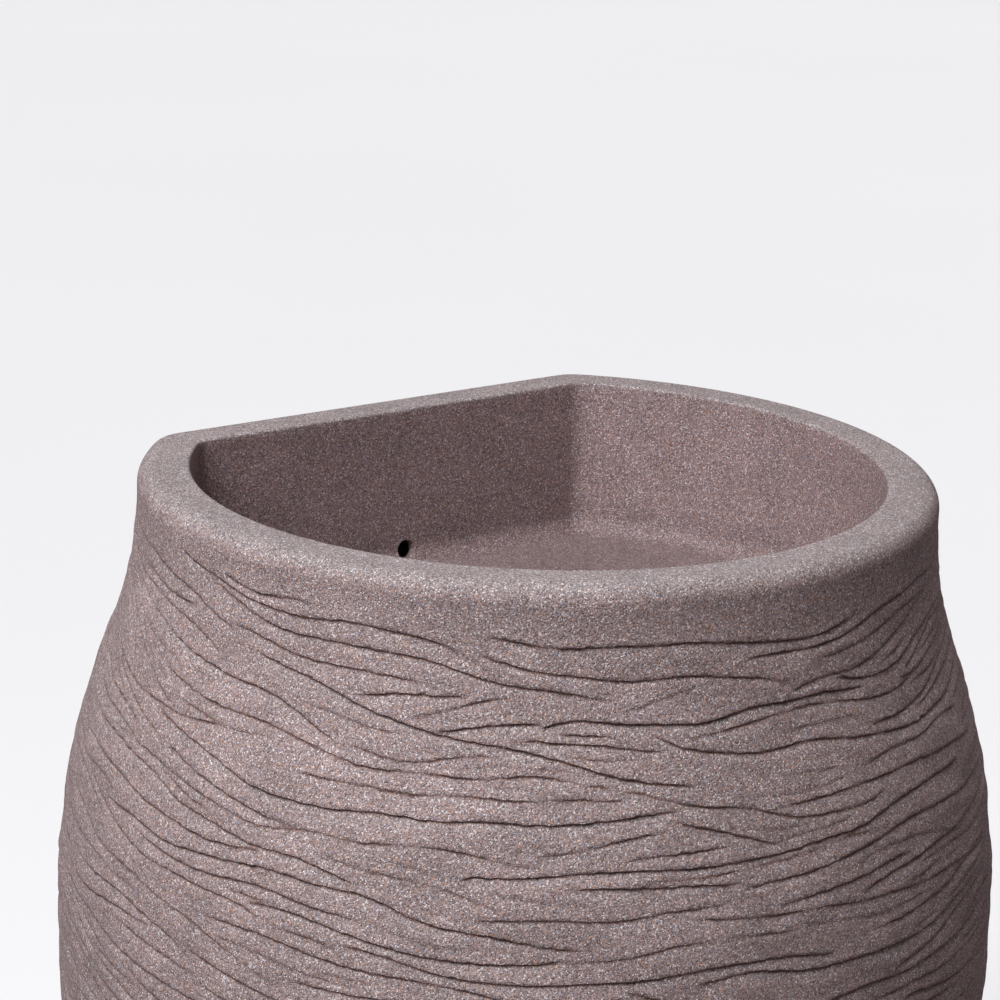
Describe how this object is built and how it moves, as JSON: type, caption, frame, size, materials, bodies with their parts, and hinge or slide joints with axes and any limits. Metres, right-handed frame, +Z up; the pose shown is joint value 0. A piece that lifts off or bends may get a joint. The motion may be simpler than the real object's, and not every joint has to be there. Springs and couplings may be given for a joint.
{
  "type": "rain barrel",
  "caption": "Flat-backed rain barrel with a planter bowl in its top, a screened rear inlet, a brass front spigot, a swivelling side overflow and a capped link port.",
  "frame": {"origin": "on the ground plane, on the axis of the tank's round wall", "axes": "+Z up, -Y towards the front where the spigot is, +Y out of the flat back, +X towards the overflow side"},
  "size_m": [0.7191, 0.589, 0.86],
  "materials": {
    "stone_resin": "speckled stone-look resin, matt",
    "brass": "cast and machined",
    "wheel_paint": "dark green enamel",
    "steel": "stainless",
    "rubber": "matt",
    "packing": "braided graphite cord",
    "black_plastic": "moulded, satin"
  },
  "bodies": {
    "barrel": {"barrel_shell": "stone_resin", "spigot_body": "brass", "spigot_gasket": "rubber", "spigot_inner_washer": "steel", "spigot_locknut": "brass", "spigot_bonnet": "brass", "spigot_bonnet_gasket": "rubber", "spigot_packing_ring": "packing", "spigot_packing_nut": "brass", "inlet_collar": "black_plastic", "inlet_gasket": "rubber", "inlet_locknut": "black_plastic", "overflow_fitting": "black_plastic", "overflow_gasket": "rubber", "overflow_locknut": "black_plastic", "overflow_union_nut": "black_plastic", "link_fitting": "black_plastic", "link_gasket": "rubber", "link_locknut": "black_plastic"},
    "spigot_disc": {"spigot_disc_holder": "brass", "spigot_seat_washer": "rubber", "spigot_seat_screw": "brass"},
    "spigot_stem": {"spigot_stem": "brass", "spigot_handle": "wheel_paint", "spigot_handle_screw": "steel"},
    "overflow_elbow": {"overflow_elbow": "black_plastic", "overflow_o_ring": "rubber"},
    "link_cap_washer": {"link_cap_washer": "rubber"},
    "link_cap": {"link_cap": "black_plastic"},
    "inlet_screen": {"inlet_screen_frame": "black_plastic", "inlet_screen_mesh": "steel"}
  },
  "joints": [
    {"name": "spigot_lift", "type": "slide", "parent": "barrel", "child": "spigot_disc", "axis": [0, -0.7071, 0.7071], "range_m": [0, 0.00602]},
    {"name": "spigot_turn", "type": "hinge", "parent": "spigot_disc", "child": "spigot_stem", "pos_m": [0, -0.328, 0.0996], "axis": [0, -0.7071, 0.7071], "range_deg": [0, 900]},
    {"name": "overflow_swivel", "type": "hinge", "parent": "barrel", "child": "overflow_elbow", "pos_m": [0.327, 0, 0.6], "axis": [1, 0, 0], "continuous": true},
    {"name": "link_cap_travel", "type": "slide", "parent": "barrel", "child": "link_cap_washer", "axis": [-1, 0, 0], "range_m": [0, 0.01402]},
    {"name": "link_cap_turn", "type": "hinge", "parent": "link_cap_washer", "child": "link_cap", "pos_m": [-0.283, 0, 0.095], "axis": [-1, 0, 0], "range_deg": [0, 1260]},
    {"name": "inlet_screen_pull", "type": "slide", "parent": "barrel", "child": "inlet_screen", "axis": [0, 1, 0], "range_m": [0, 0.08]}
  ],
  "couplings": [
    {"joint": "spigot_lift", "follows": "spigot_turn", "m_per_rad": 0.00038197},
    {"joint": "link_cap_travel", "follows": "link_cap_turn", "m_per_rad": 0.00063662}
  ]
}
